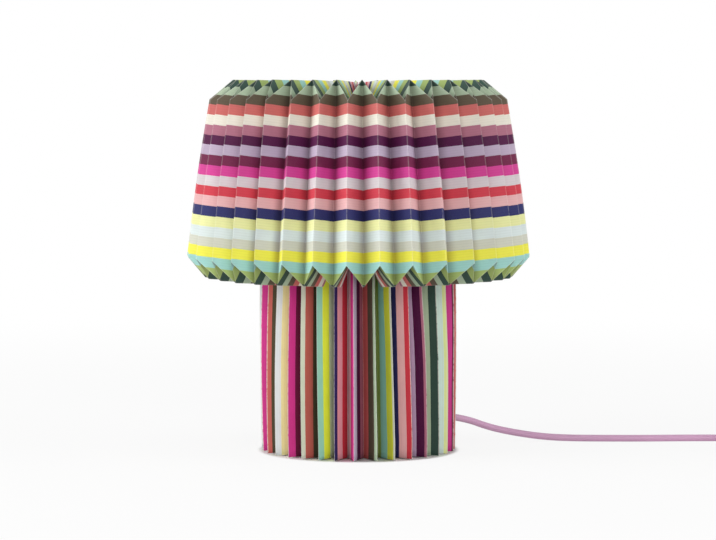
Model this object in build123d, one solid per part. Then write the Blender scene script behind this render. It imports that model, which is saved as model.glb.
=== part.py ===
"""Pleated paper table lamp.

A folded paper shade hangs on a wire carrier over a pleated paper column.  The column is glued round a
cardboard core tube, which holds a weighted base, the lampholder and the gland of the mains cord.
Millimetres, +Z up, origin on the floor at the lamp's axis, the photographed front faces -Y.
"""

import math
import os

from build123d import *

# ---------------------------------------------------------------- driving dimensions

# Folded sheets
SHEET = 0.4  # thickness of the striped paper

# Shade: profile points (radius, height) on the outer surface, from the top hole round to the lower lip
SHADE_PANELS = [9, 8, 9, 8]  # pleats in each glued panel
SHADE_PLEATS = sum(SHADE_PANELS)
SHADE_VALLEY_DEG = 1.3  # first inner fold, counted from -Y towards +X
SHADE_RIDGE_LINE = [(20.3, 325.9), (141.7, 332.4), (162.9, 184.7), (95.0, 183.7)]
SHADE_VALLEY_LINE = [(20.0, 348.7), (119.2, 351.0), (145.5, 164.3), (95.0, 160.8)]
GATHER_RING_Z = 337.0
GATHER_WIRE_R = 0.9

# Column: a pleated sleeve, one pleat wider where the sheet's ends are joined
COLUMN_RIDGE_R = 92.0
COLUMN_PLEATS = 32
COLUMN_SEAM_DEG = (-3.1, 11.4)  # the two ridges of the wide pleat, counted from -Y towards +X
COLUMN_FACET = 26.6  # width of the paper between two folds
COLUMN_BOTTOM = 0.8
COLUMN_TOP = 204.0

# Fits
FIT = 0.05  # room between pieces that are pushed or screwed together

# Core tube, discs and base
CORE_R = 63.6
CORE_WALL = 2.5
CORE_BOTTOM = 1.6
CORE_TOP = 200.0
DISC_R = 61.0
FELT_R = 58.0
FELT_T = 2.0
BASE_T = 14.0
BALLAST_R = 50.0
BALLAST_T = 8.0
BALLAST_BEVEL = 0.8
SCREW_COUNT = 3
SCREW_CIRCLE_R = 34.0
SCREW_R = 2.0
SCREW_LOW_Z = 6.0
SCREW_HEAD_R = 4.0
SCREW_HEAD_T = 2.4
SCREW_KEY_R = 1.7
TOP_DISC_T = 10.0

# Lampholder and its tube, heights above the floor
TUBE_R = 5.0
TUBE_BORE = 3.6
TUBE_SPAN = (183.0, 212.0)
WASHER_R = 12.0
WASHER_T = 1.5
NUT_ACROSS = 14.0
NUT_T = 4.5
HOLDER_Z = 206.0
HOLDER_R = 20.0
HOLDER_CAP_R = 21.5
HOLDER_WALL = 2.4
HOLDER_SPLIT_Z = 224.0
HOLDER_TOP_Z = 254.0
HOLDER_SHOULDER = (5.0, 6.0)  # how far the cap's lower corner is cut back, sideways and upwards
HOLDER_THREADS = 12
HOLDER_THREAD_PITCH = 2.2
INSULATOR_T = 6.0
INSULATOR_BORE = 3.0
SHELL_R = 14.4  # outside of the threaded metal shell
SHELL_WALL = 0.5
CLAMP_RING_R = 27.0
CLAMP_RING_T = 7.0
CLAMP_RING_FLUTES = 24
CLAMP_RING_FLUTE_R = 1.2
CARRIER_PLATE_Z = 236.0
CARRIER_PLATE_R = 30.0
CARRIER_PLATE_T = 2.0

# Wire carrier
WIRE_R = 1.5
HOOP_R = 84.0
ARM_COUNT = 3
ARM_FIRST_DEG = 0.0  # counted from +X

# Bulb, heights above the floor
BULB_TIP_Z = 233.5
BULB_INSULATOR_Z = 235.0
BULB_INSULATOR_R = (4.5, 11.5)
BULB_CAP_Z = (240.0, 257.0)
BULB_CAP_R = 13.1
BULB_THREADS = 4
BULB_THREAD_PITCH = 3.4
BULB_COLLAR_R = (13.8, 20.6)
BULB_COLLAR_TOP_Z = 274.0
BULB_GLOBE_R = 22.5
BULB_TOP_Z = 310.0

# Cord
CORD_R = 3.2
GLAND_DEG = 27.3  # direction of the cord's exit, counted from +X: an inner fold of the column
GLAND_DROP_DEG = 10.0
GLAND_TIP_R = 98.0
GLAND_TIP_Z = 26.0
GLAND_BOOT = 33.0
GLAND_BOOT_R = (6.0, 4.3)
GLAND_SHANK_R = 5.0
GLAND_SHANK = 12.0
GLAND_GROOVES = 5
GLAND_GROOVE_PITCH = 4.5
GLAND_NUT_ACROSS = 16.0
GLAND_NUT_T = 4.5
INNER_LEAD_POINTS = [(17.0, 47.0), (3.5, 68.0), (0.0, 95.0), (0.0, 211.0)]  # (radius, height)
LEAD_FIRST_RUN = 20.0
LEAD_POINTS = [
    (126.0, 58.5, 14.0),
    (152.0, 60.5, 8.2),
    (180.0, 60.5, 4.3),
    (206.0, 59.3, 3.2),
    (240.0, 57.5, 3.2),
    (278.0, 57.3, 3.2),
    (315.0, 60.0, 3.2),
    (347.0, 60.4, 3.2),
    (369.0, 49.5, 4.4),
    (381.0, 28.5, 8.0),
]

# Inline switch, lying along Y
SWITCH_X = 381.0
SWITCH_Y = (-56.0, 6.0)
SWITCH_W = 25.0
SWITCH_H = 16.0
SWITCH_CORD_Z = 8.0
SWITCH_WALL = 1.8
SWITCH_CORNER_R = 9.0
SWITCH_TOP_BEVEL = 2.0
SWITCH_FOOT_BEVEL = 1.0
POST_R = 2.6
POST_PLACES = [(7.0, 19.0), (-7.0, -19.0)]  # from the switch's middle
SWITCH_SCREW_R = 1.2
SWITCH_SCREW_HEAD = (2.1, 1.6)
SWITCH_SCREW_Z = 0.6
TERMINAL_PLACES = [(-4.5, 16.0), (4.5, -16.0)]
TERMINAL_SIZE = (4.0, 7.0, 4.0)
EAR_SIZE = (2.4, 6.0, 12.2)
EAR_OUT = 2.0  # from the rocker's side to the middle of its ear
ROCKER_L = 19.4
ROCKER_W = 12.0
ROCKER_TILT_DEG = 8.0
ROCKER_PIVOT_Z = 11.0
ROCKER_PIN_R = 1.2
ROCKER_DISH = 1.2
ROCKER_TOP_Z = 17.6
ROCKER_EDGE_Z = 13.8
ROCKER_LOW_Z = 8.4
ROCKER_FOOT = 3.2

# Put-away coil: half turns from the outside in, then one climbing half turn, then out again
COIL_TIE_ROOM = 1.3  # the tie passes under the coil
COIL_START = (381.0, -110.0)
COIL_OUTER_R = 45.4
COIL_PITCH = 6.9
COIL_HALF_TURNS = 5
COIL_LEAD = 6.4  # straight run before the first and after the last turn
TIE_W = 7.0
TIE_T = 1.0
TIE_ROOM = (0.5, 1.2)  # outside and inside the coil
TIE_CORNER_R = 2.5

# Plug
PLUG_Y = (-66.0, -46.0, -12.0)  # end of the cord, front of the boot, face with the pins
PLUG_W = 32.0
PLUG_T = 13.6
PLUG_NECK_W = 14.0
PLUG_SHOULDER = 11.0
PLUG_CORNER_R = 6.0
PLUG_BOOT_R = (4.3, 5.6)
PLUG_GROOVES = 4
PLUG_GROOVE_PITCH = 4.0
PIN_R = 2.0
PIN_L = 19.0
PIN_APART = 18.6
PIN_SLEEVE_L = 10.0
PIN_BEVEL = 0.8


# ---------------------------------------------------------------- helpers


def save(name, shape):
    """Writes one sub-part."""
    shape.label = name
    export_step(shape, f"parts/{name}.step")


def ring(outer, inner, low, high):
    """An upright tube or washer round the lamp's axis."""
    body = Pos(0, 0, low) * extrude(Circle(outer) - Circle(inner), high - low)
    return body.solid()


def disc(radius, low, high):
    """An upright cylinder round the lamp's axis."""
    return Pos(0, 0, low) * extrude(Circle(radius), high - low)


def turned(points):
    """A body of revolution from a closed outline of (radius, height) points."""
    outline = make_face(Polyline(*[(r, 0, z) for r, z in points], close=True))
    return revolve(outline, Axis.Z, 360)


def rod(start, end, radius):
    """A round bar between two points."""
    way = Line(start, end)
    return sweep(Plane(origin=way @ 0, z_dir=way % 0) * Circle(radius), path=way)


def on_circle(count, radius, first_deg):
    """Points spaced evenly on a circle round the axis."""
    turns = [math.radians(first_deg + 360 * k / count) for k in range(count)]
    return [(radius * math.cos(a), radius * math.sin(a)) for a in turns]


def toward(degrees):
    """Unit vector in the floor plane, from an angle counted from -Y towards +X."""
    a = math.radians(degrees)
    return math.sin(a), -math.cos(a)


def bend_radius(before, corner, after):
    """The largest even bend at a corner of a cord's route."""
    first = Vector(*corner) - Vector(*before)
    second = Vector(*after) - Vector(*corner)
    half_turn = math.radians(first.get_angle(second)) / 2
    return 0.45 * min(first.length, second.length) / math.tan(half_turn)


def cord_along(name, points, radius=CORD_R):
    """A round cord along straight runs joined by tangent arcs, and its length."""
    radii = [bend_radius(*points[k : k + 3]) for k in range(len(points) - 2)]
    way = FilletPolyline(*points, radius=radii)
    tube = sweep(Plane(origin=way @ 0, z_dir=way % 0) * Circle(radius), path=way)
    share = tube.volume / (math.pi * radius**2 * way.length)
    listed = ", ".join(f"{r:.0f}" for r in radii)
    print(f"{name}: length {way.length:.1f}, volume over section times length {share:.4f}, radii {listed}")
    return tube, way.length


# ---------------------------------------------------------------- folded shade


def facet_normal(ridge, valley, j, half):
    """Outward unit normal of the facet between stations j and j + 1."""
    lines = [ridge[j], ridge[j + 1]], [valley[j], valley[j + 1]]
    a, b = [Vector(r, 0, z) for r, z in lines[0]]
    c, d = [Vector(r * math.cos(half), r * math.sin(half), z) for r, z in lines[1]]
    return (d - a).cross(c - b).normalized()


def inner_line(line, normals, half_angle):
    """The line of one fold on the inner surface, one sheet thickness behind the facets on both sides."""
    moved = []
    last = len(line) - 1
    for j, (r, z) in enumerate(line):
        rows = []
        for n in normals[max(j - 1, 0) : min(j, last - 1) + 1]:
            across = n.X * math.cos(half_angle) + n.Y * math.sin(half_angle)
            rows.append((across, n.Z, -SHEET))
        if len(rows) == 1:
            other = line[1] if j == 0 else line[last - 1]
            rows.append((other[0] - r, other[1] - z, 0.0))
        (a, b, p), (c, d, q) = rows
        det = a * d - b * c
        moved.append((r + (p * d - b * q) / det, z + (a * q - p * c) / det))
    return moved


def shade_lines():
    """The fold lines of the shade: ridge and valley, on the outer and on the inner surface."""
    half = math.pi / SHADE_PLEATS
    stations = len(SHADE_RIDGE_LINE) - 1
    normals = [facet_normal(SHADE_RIDGE_LINE, SHADE_VALLEY_LINE, j, half) for j in range(stations)]
    inner_ridge = inner_line(SHADE_RIDGE_LINE, normals, 0.0)
    inner_valley = inner_line(SHADE_VALLEY_LINE, normals, half)
    return (SHADE_RIDGE_LINE, SHADE_VALLEY_LINE), (inner_ridge, inner_valley)


def triangle(a, b, c):
    """One flat three-sided face."""
    return Face(Wire.make_polygon([a, b, c], close=True))


def shade_folds():
    """Every fold of the shade in turn, each as its outer and its inner line of points."""
    folds = []
    for k in range(2 * SHADE_PLEATS + 1):
        x, y = toward(SHADE_VALLEY_DEG + 180.0 * k / SHADE_PLEATS)
        lines = [side[1 - k % 2] for side in shade_lines()]
        folds.append([[Vector(r * x, r * y, z) for r, z in line] for line in lines])
    return folds


def shade_panel(folds):
    """One panel of the sheet, between two inner folds: over the top, down the side, under the lower lip."""
    faces = []
    last = len(SHADE_RIDGE_LINE) - 1
    for k, pair in enumerate(zip(folds, folds[1:])):
        valley, ridge = pair if k % 2 == 0 else reversed(pair)
        for a, b in zip(ridge, valley):
            for j in range(last):
                faces.append(triangle(a[j], a[j + 1], b[j + 1]))
                faces.append(triangle(a[j], b[j + 1], b[j]))
        for j in (0, last):
            faces.append(triangle(ridge[0][j], ridge[1][j], valley[1][j]))
            faces.append(triangle(ridge[0][j], valley[1][j], valley[0][j]))
    for outer, inner in (folds[0], folds[-1]):
        for j in range(last):
            faces.append(triangle(outer[j], outer[j + 1], inner[j + 1]))
            faces.append(triangle(outer[j], inner[j + 1], inner[j]))
    return Solid(Shell(faces))


def shade_parts():
    """The shade's sheet, in panels that are glued to each other at inner folds."""
    folds = shade_folds()
    first = 0
    for number, pleats in enumerate(SHADE_PANELS, start=1):
        after = first + 2 * pleats
        save(f"shade_panel_{number}", shade_panel(folds[first : after + 1]))
        first = after


def gather_ring():
    """Wire ring that holds the cut edges of the pleats round the top hole."""
    (r_low, z_low), (r_high, z_high) = SHADE_RIDGE_LINE[0], SHADE_VALLEY_LINE[0]
    edge_r = r_low + (GATHER_RING_Z - z_low) * (r_high - r_low) / (z_high - z_low)
    return Pos(0, 0, GATHER_RING_Z) * Torus(edge_r - GATHER_WIRE_R - 0.15, GATHER_WIRE_R)


# ---------------------------------------------------------------- column


def column_folds():
    """The zigzag of the column's sleeve: (angle, radius) of every ridge and valley."""
    left, right = COLUMN_SEAM_DEG
    step = (360.0 - (right - left)) / (COLUMN_PLEATS - 1)
    ridges = [right + k * step for k in range(COLUMN_PLEATS)]
    folds = []
    for k, angle in enumerate(ridges):
        after = ridges[k + 1] if k + 1 < COLUMN_PLEATS else right + 360.0
        half = math.radians(after - angle) / 2
        reach = COLUMN_RIDGE_R * math.sin(half)
        depth = math.sqrt(COLUMN_FACET**2 - reach**2)
        folds.append((angle, COLUMN_RIDGE_R))
        folds.append(((angle + after) / 2, COLUMN_RIDGE_R * math.cos(half) - depth))
    return folds


def mitred(points, distance):
    """A closed zigzag moved sideways by the same distance everywhere, towards its inside."""
    moved = []
    for k, (x, y) in enumerate(points):
        before, after = points[k - 1], points[(k + 1) % len(points)]
        d0 = Vector(x - before[0], y - before[1]).normalized()
        d1 = Vector(after[0] - x, after[1] - y).normalized()
        n0, n1 = Vector(-d0.Y, d0.X), Vector(-d1.Y, d1.X)
        shift = (n0 + n1) * (distance / (1 + n0.dot(n1)))
        moved.append((x + shift.X, y + shift.Y))
    return moved


def toward_gland(radius, z):
    """A point over the line from the lamp's axis to the cord's exit."""
    turn = math.radians(GLAND_DEG)
    return radius * math.cos(turn), radius * math.sin(turn), z


def gland_axis(radius):
    """The point of the gland's axis at a distance from the lamp's axis."""
    drop = math.tan(math.radians(GLAND_DROP_DEG))
    return toward_gland(radius, GLAND_TIP_Z + (GLAND_TIP_R - radius) * drop)


def pleated_column():
    """The column's sleeve, cut away where the cord's gland comes through a valley."""
    outline = [(r * toward(a)[0], r * toward(a)[1]) for a, r in column_folds()]
    sheet = make_face(Polyline(*outline, close=True)) - make_face(
        Polyline(*mitred(outline, SHEET), close=True)
    )
    sleeve = Pos(0, 0, COLUMN_BOTTOM) * extrude(sheet, COLUMN_TOP - COLUMN_BOTTOM)
    way_through = rod(gland_axis(CORE_R - 5), gland_axis(COLUMN_RIDGE_R + 5), GLAND_BOOT_R[0] + 0.8)
    return (sleeve - way_through).solid()


def core_tube():
    """Cardboard tube that carries the sleeve, with the gland's hole."""
    tube = ring(CORE_R, CORE_R - CORE_WALL, CORE_BOTTOM, CORE_TOP)
    hole = rod(gland_axis(CORE_R - 9), gland_axis(CORE_R + 5), GLAND_SHANK_R + 0.2)
    return (tube - hole).solid()


def base_parts():
    """Felt, base disc, steel weight and its screws."""
    base_low, base_high = FELT_T, FELT_T + BASE_T
    weight_high = base_high + BALLAST_T
    screws, holes, wide_holes = [], [], []
    for x, y in on_circle(SCREW_COUNT, SCREW_CIRCLE_R, 90.0):
        head = Pos(x, y, weight_high) * extrude(Circle(SCREW_HEAD_R), SCREW_HEAD_T)
        key = extrude(RegularPolygon(SCREW_KEY_R, 6), SCREW_HEAD_T)
        shank = Pos(x, y, SCREW_LOW_Z) * extrude(Circle(SCREW_R), weight_high - SCREW_LOW_Z)
        screws.append((head + shank - Pos(x, y, weight_high + SCREW_HEAD_T / 2) * key).solid())
        holes.append(Pos(x, y, SCREW_LOW_Z - 1) * extrude(Circle(SCREW_R + FIT), BASE_T))
        wide_holes.append(Pos(x, y, base_high) * extrude(Circle(SCREW_R + 6 * FIT), BALLAST_T))
    save("felt_pad", disc(FELT_R, 0, FELT_T))
    save("base_disc", (disc(DISC_R, base_low, base_high) - holes).solid())
    plate = disc(BALLAST_R, base_high, weight_high)
    plate = chamfer(plate.edges().filter_by(GeomType.CIRCLE), BALLAST_BEVEL)
    save("ballast_plate", (plate - wide_holes).solid())
    save("ballast_screws", Compound(children=screws))


# ---------------------------------------------------------------- lampholder and carrier


def tube_parts():
    """Top disc, hollow threaded tube, its washers and nuts."""
    disc_low = CORE_TOP - TOP_DISC_T
    save("top_disc", ring(DISC_R, TUBE_R + 2 * FIT, disc_low, CORE_TOP))
    save("threaded_tube", ring(TUBE_R, TUBE_BORE, *TUBE_SPAN))
    washers = [
        ring(WASHER_R, TUBE_R + 4 * FIT, disc_low - WASHER_T, disc_low),
        ring(WASHER_R, TUBE_R + 4 * FIT, CORE_TOP, CORE_TOP + WASHER_T),
    ]
    save("tube_washers", Compound(children=washers))
    nut = extrude(RegularPolygon(NUT_ACROSS / 2, 6, major_radius=False) - Circle(TUBE_R + FIT), NUT_T)
    nuts = [(Pos(0, 0, z) * nut).solid() for z in (disc_low - WASHER_T - NUT_T, CORE_TOP + WASHER_T)]
    save("tube_nuts", Compound(children=nuts))


def holder_parts():
    """Lampholder: cap, threaded skirt, insulator, metal shell and contact."""
    back, up = HOLDER_SHOULDER
    floor_z = HOLDER_Z + HOLDER_WALL
    cavity_r = HOLDER_CAP_R - HOLDER_WALL
    outside = [(HOLDER_CAP_R - back, HOLDER_Z), (HOLDER_CAP_R, HOLDER_Z + up), (HOLDER_CAP_R, HOLDER_SPLIT_Z)]
    inside = [(cavity_r, HOLDER_SPLIT_Z), (cavity_r, HOLDER_Z + up + 1), (cavity_r - back + 1, floor_z)]
    bore_r = TUBE_R + FIT
    save("holder_cap", turned([(bore_r, HOLDER_Z), *outside, *inside, (bore_r, floor_z)]))
    skirt = ring(HOLDER_R, HOLDER_R - HOLDER_WALL, HOLDER_SPLIT_Z, HOLDER_TOP_Z)
    for k in range(HOLDER_THREADS):
        groove_z = HOLDER_SPLIT_Z + 3 + HOLDER_THREAD_PITCH * k
        skirt -= ring(HOLDER_R + 1, HOLDER_R - 0.35, groove_z, groove_z + 0.9)
    save("holder_skirt", skirt.solid())
    shell_low = HOLDER_SPLIT_Z + INSULATOR_T
    insulator_r = HOLDER_R - HOLDER_WALL - 2 * FIT
    save("holder_insulator", ring(insulator_r, INSULATOR_BORE, HOLDER_SPLIT_Z, shell_low))
    save("holder_shell", ring(SHELL_R, SHELL_R - SHELL_WALL, shell_low, HOLDER_TOP_Z - 3))
    tongue_t, rise_z = 0.6, BULB_TIP_Z - 0.5
    tongue = Pos(0, 0, shell_low) * extrude(Rectangle(16, 6), tongue_t)
    rise = Pos(0, 0, shell_low) * extrude(Circle(2.6), rise_z - shell_low)
    save("centre_contact", (tongue + rise).solid())


def clamp_rings():
    """Two fluted rings screwed on the lampholder's skirt, under and over the carrier's plate."""
    lows = {
        "lower_clamp_ring": CARRIER_PLATE_Z - CLAMP_RING_T,
        "upper_clamp_ring": CARRIER_PLATE_Z + CARRIER_PLATE_T,
    }
    for name, low in lows.items():
        body = ring(CLAMP_RING_R, HOLDER_R + FIT, low, low + CLAMP_RING_T)
        for x, y in on_circle(CLAMP_RING_FLUTES, CLAMP_RING_R + CLAMP_RING_FLUTE_R / 3, 0.0):
            body -= Pos(x, y, low) * extrude(Circle(CLAMP_RING_FLUTE_R), CLAMP_RING_T)
        save(name, body.solid())


def carrier_parts():
    """Wire carrier: a plate clamped on the lampholder, three arms and the hoop under the shade."""
    plate_top = CARRIER_PLATE_Z + CARRIER_PLATE_T
    plate = ring(CARRIER_PLATE_R, HOLDER_R + 4 * FIT, CARRIER_PLATE_Z, plate_top)
    save("carrier_plate", plate)
    (r0, z0), (r1, z1) = shade_lines()[1][0][:2]
    slope = math.atan2(z1 - z0, r1 - r0)
    hoop_z = z0 + (HOOP_R - r0) * math.tan(slope) - WIRE_R / math.cos(slope) - FIT
    hoop = Pos(0, 0, hoop_z) * Torus(HOOP_R, WIRE_R)
    save("carrier_hoop", hoop)
    foot_r = CLAMP_RING_R + WIRE_R + 0.2
    way = Line((foot_r, 0, plate_top + WIRE_R - FIT), (HOOP_R, 0, hoop_z - WIRE_R))
    arm = sweep(Plane(origin=way @ 0, z_dir=way % 0) * Circle(WIRE_R), path=way)
    beyond_hoop = Pos(HOOP_R + 10, 0, hoop_z) * Box(20, 8, 12)
    arm = (arm - hoop - plate - beyond_hoop).solid()
    arms = [Rot(0, 0, ARM_FIRST_DEG + 360.0 * k / ARM_COUNT) * arm for k in range(ARM_COUNT)]
    save("carrier_arms", Compound(children=arms))
    print(f"hoop height {hoop_z:.2f}")


def bulb_parts():
    """Screw-in bulb: contact, insulator, metal cap, collar and globe."""
    cap_low, cap_high = BULB_CAP_Z
    tip_r, wide_r = BULB_INSULATOR_R
    save("bulb_contact", disc(4.0, BULB_TIP_Z, BULB_INSULATOR_Z))
    cone = [(0, BULB_INSULATOR_Z), (tip_r, BULB_INSULATOR_Z), (wide_r, cap_low), (0, cap_low)]
    save("bulb_insulator", turned(cone))
    cap = disc(BULB_CAP_R, cap_low, cap_high)
    for k in range(BULB_THREADS):
        groove_z = cap_low + 2.5 + BULB_THREAD_PITCH * k
        cap -= ring(BULB_CAP_R + 1, BULB_CAP_R - 0.7, groove_z, groove_z + 1.5)
    save("bulb_cap", cap.solid())
    neck_r, rim_r = BULB_COLLAR_R
    rise = [(0, cap_high), (neck_r, cap_high), (rim_r, BULB_COLLAR_TOP_Z), (0, BULB_COLLAR_TOP_Z)]
    save("bulb_collar", turned(rise))
    ball = Pos(0, 0, BULB_TOP_Z - BULB_GLOBE_R) * Sphere(BULB_GLOBE_R)
    save("bulb_globe", (ball - disc(2 * BULB_GLOBE_R, BULB_CAP_Z[0], BULB_COLLAR_TOP_Z)).solid())


# ---------------------------------------------------------------- cord, switch and plug


def gland_parts():
    """Strain relief through the core tube, its nut, and the lead inside the lamp."""
    tip = gland_axis(GLAND_TIP_R)
    ahead = (Vector(*tip) - Vector(*gland_axis(0))).normalized()
    frame = Plane(origin=tip, z_dir=ahead)
    shank_end = frame.offset(-GLAND_BOOT - GLAND_SHANK)
    boot = loft([frame.offset(-GLAND_BOOT) * Circle(GLAND_BOOT_R[0]), frame * Circle(GLAND_BOOT_R[1])])
    for k in range(GLAND_GROOVES):
        groove_r = GLAND_BOOT_R[1] - 0.2 + 0.2 * k
        groove = extrude(Circle(2 * GLAND_BOOT_R[0]) - Circle(groove_r), 1.6)
        boot -= frame.offset(-4.0 - GLAND_GROOVE_PITCH * k) * groove
    boot += shank_end * extrude(Circle(GLAND_SHANK_R), GLAND_SHANK)
    save("cord_gland", boot.solid())
    across = RegularPolygon(GLAND_NUT_ACROSS / 2, 6, major_radius=False)
    nut = extrude(across - Circle(GLAND_SHANK_R + FIT), GLAND_NUT_T)
    save("gland_nut", (frame.offset(-GLAND_BOOT - 2.33 * GLAND_NUT_T) * nut).solid())
    first = tuple(shank_end.origin)
    points = [first, gland_axis(34.0), *(toward_gland(r, z) for r, z in INNER_LEAD_POINTS)]
    save("inner_lead", cord_along("inner_lead", points)[0])
    return tip, ahead


def switch_parts():
    """Inline switch: two half shells, a rocker on a pin, screws and terminals."""
    y_low, y_high = SWITCH_Y
    length, mid_y = y_high - y_low, (y_low + y_high) / 2
    middle = Pos(SWITCH_X, mid_y, 0)
    block = middle * extrude(RectangleRounded(SWITCH_W, length, SWITCH_CORNER_R), SWITCH_H)
    block = chamfer(block.edges().group_by(Axis.Z)[-1], SWITCH_TOP_BEVEL)
    block = chamfer(block.edges().group_by(Axis.Z)[0], SWITCH_FOOT_BEVEL)
    inside = RectangleRounded(SWITCH_W - 2 * SWITCH_WALL, length - 2 * SWITCH_WALL, SWITCH_CORNER_R - 2)
    hollow = middle * Pos(0, 0, SWITCH_WALL) * extrude(inside, SWITCH_H - 2 * SWITCH_WALL)
    window = middle * Pos(0, 0, SWITCH_H) * Box(ROCKER_W + 0.8, ROCKER_L + 1.4, 3 * SWITCH_WALL)
    places = [middle * Pos(x, y, 0) for x, y in POST_PLACES]
    posts = [place * extrude(Circle(POST_R), SWITCH_H - 1) for place in places]
    screw_room = [place * extrude(Circle(SWITCH_SCREW_R + FIT), SWITCH_H - 3) for place in places]
    head_r, head_t = SWITCH_SCREW_HEAD
    head_top = SWITCH_SCREW_Z + head_t
    head_room = [place * extrude(Circle(head_r + 4 * FIT), head_top) for place in places]
    body = block - hollow - window
    body = body + [post & block for post in posts] - screw_room - head_room
    half = middle * Box(SWITCH_W + 4, length + 4, 2 * SWITCH_CORD_Z)
    pin_reach = ROCKER_W / 2 + EAR_OUT + EAR_SIZE[0] / 4
    pin_ends = [(SWITCH_X + side * pin_reach, mid_y, ROCKER_PIVOT_Z) for side in (-1, 1)]
    ears = [
        middle * Pos(side * (ROCKER_W / 2 + EAR_OUT), 0, 1.0) * extrude(Rectangle(*EAR_SIZE[:2]), EAR_SIZE[2])
        for side in (1, -1)
    ]
    lower = (body & half) + ears - rod(*pin_ends, ROCKER_PIN_R + FIT)
    save("switch_shell_lower", lower.solid())
    save("switch_shell_upper", (body - half).solid())
    save("rocker_pin", rod(*pin_ends, ROCKER_PIN_R))
    screw = Pos(0, 0, SWITCH_SCREW_Z) * extrude(Circle(head_r), head_t)
    screw += Pos(0, 0, head_top) * extrude(Circle(SWITCH_SCREW_R), SWITCH_H - 6)
    screw -= Pos(0, 0, SWITCH_SCREW_Z) * Box(1.5 * head_r, 0.7, 1.4)
    save("switch_screws", Compound(children=[(place * screw).solid() for place in places]))
    terminal = Pos(0, 0, SWITCH_WALL) * extrude(Rectangle(*TERMINAL_SIZE[:2]), TERMINAL_SIZE[2])
    terminals = [(middle * Pos(x, y, 0) * terminal).solid() for x, y in TERMINAL_PLACES]
    save("switch_terminals", Compound(children=terminals))
    save("switch_rocker", (middle * rocker()).solid())


def rocker():
    """Rocker with a dished top, tilted to one side, bored for its pin."""
    half_l = ROCKER_L / 2
    half_top = half_l - 0.5
    right = [
        (0, 0, ROCKER_TOP_Z - ROCKER_DISH),
        (0, half_top, ROCKER_TOP_Z),
        (0, half_l, ROCKER_EDGE_Z),
        (0, ROCKER_FOOT, ROCKER_LOW_Z),
    ]
    left = [(0, -y, z) for _, y, z in reversed(right[1:])]
    side = make_face(Polyline(*right, *left, close=True))
    body = extrude(side, amount=ROCKER_W / 2, both=True, dir=(1, 0, 0))
    body -= rod((-ROCKER_W, 0, ROCKER_PIVOT_Z), (ROCKER_W, 0, ROCKER_PIVOT_Z), ROCKER_PIN_R + FIT)
    return body.rotate(Axis((0, 0, ROCKER_PIVOT_Z), (1, 0, 0)), ROCKER_TILT_DEG)


def coil_path():
    """The coil's centreline: half turns inwards, one climbing half turn, half turns outwards."""
    low_z = CORD_R + COIL_TIE_ROOM
    high_z = low_z + COIL_PITCH
    x, y = COIL_START
    start = Vector(x, y, low_z)
    here = start - Vector(0, COIL_LEAD, 0)
    edges = [Edge.make_line(start, here)]
    centre_y = here.Y
    radii = [COIL_OUTER_R - k * COIL_PITCH / 2 for k in range(COIL_HALF_TURNS)]
    climb_r = COIL_OUTER_R - COIL_HALF_TURNS * COIL_PITCH / 2
    side = 1
    for radius in radii:
        there = Vector(here.X + side * 2 * radius, centre_y, low_z)
        edges.append(Edge.make_tangent_arc(here, Vector(0, -side, 0), there))
        here, side = there, -side
    lean = math.hypot(climb_r, COIL_PITCH / 2)
    there = Vector(here.X + side * 2 * climb_r, centre_y, high_z)
    top = Vector(here.X + side * climb_r, centre_y - side * lean, (low_z + high_z) / 2)
    along = (there - here).normalized()
    edges.append(Edge.make_tangent_arc(here, Vector(0, -side, 0), top))
    edges.append(Edge.make_tangent_arc(top, along, there))
    here, side = there, -side
    for radius in reversed(radii):
        there = Vector(here.X + side * 2 * radius, centre_y, high_z)
        edges.append(Edge.make_tangent_arc(here, Vector(0, -side, 0), there))
        here, side = there, -side
    end = here - Vector(0, side * COIL_LEAD, 0)
    edges.append(Edge.make_line(here, end))
    return edges, start, end


def least_gap(edges):
    """The smallest clear distance between stretches of the coil that aren't next to each other."""
    step = 3.0
    points, along = [], []
    done = 0.0
    for edge in edges:
        count = max(1, round(edge.length / step))
        for k in range(count):
            points.append(edge @ (k / count))
            along.append(done + edge.length * k / count)
        done += edge.length
    least = math.inf
    for i, p in enumerate(points):
        for j in range(i + 1, len(points)):
            if along[j] - along[i] > 8 * CORD_R:
                least = min(least, (points[j] - p).length)
    return least - 2 * CORD_R


def coil_parts():
    """The put-away coil and the tie round it."""
    edges, start, end = coil_path()
    way = Wire(edges)
    coil = sweep(Plane(origin=start, z_dir=(0, -1, 0)) * Circle(CORD_R), path=way)
    length = sum(edge.length for edge in edges)
    share = coil.volume / (math.pi * CORD_R**2 * length)
    print(f"cord_coil: length {length:.1f}, volume over section times length {share:.4f}")
    print(f"cord_coil: least gap to itself {least_gap(edges):.2f}")
    save("cord_coil", coil)
    inner_r = COIL_OUTER_R - (COIL_HALF_TURNS - 1) * COIL_PITCH / 2
    y_out = start.Y - COIL_LEAD - COIL_OUTER_R - CORD_R - TIE_ROOM[0]
    y_in = start.Y - COIL_LEAD - inner_r + CORD_R + TIE_ROOM[1]
    z_low = COIL_TIE_ROOM - 0.2
    z_high = COIL_TIE_ROOM + COIL_PITCH + 2 * CORD_R + 0.2
    place = Plane(
        origin=(COIL_START[0] + COIL_OUTER_R + COIL_PITCH / 2, (y_out + y_in) / 2, (z_low + z_high) / 2),
        x_dir=(0, 1, 0),
        z_dir=(1, 0, 0),
    )
    wide, tall = y_in - y_out, z_high - z_low
    band = RectangleRounded(wide + 2 * TIE_T, tall + 2 * TIE_T, TIE_CORNER_R + TIE_T)
    band -= RectangleRounded(wide, tall, TIE_CORNER_R)
    save("cord_tie", (place * extrude(band, TIE_W / 2, both=True)).solid())
    return start, end, length


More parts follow.
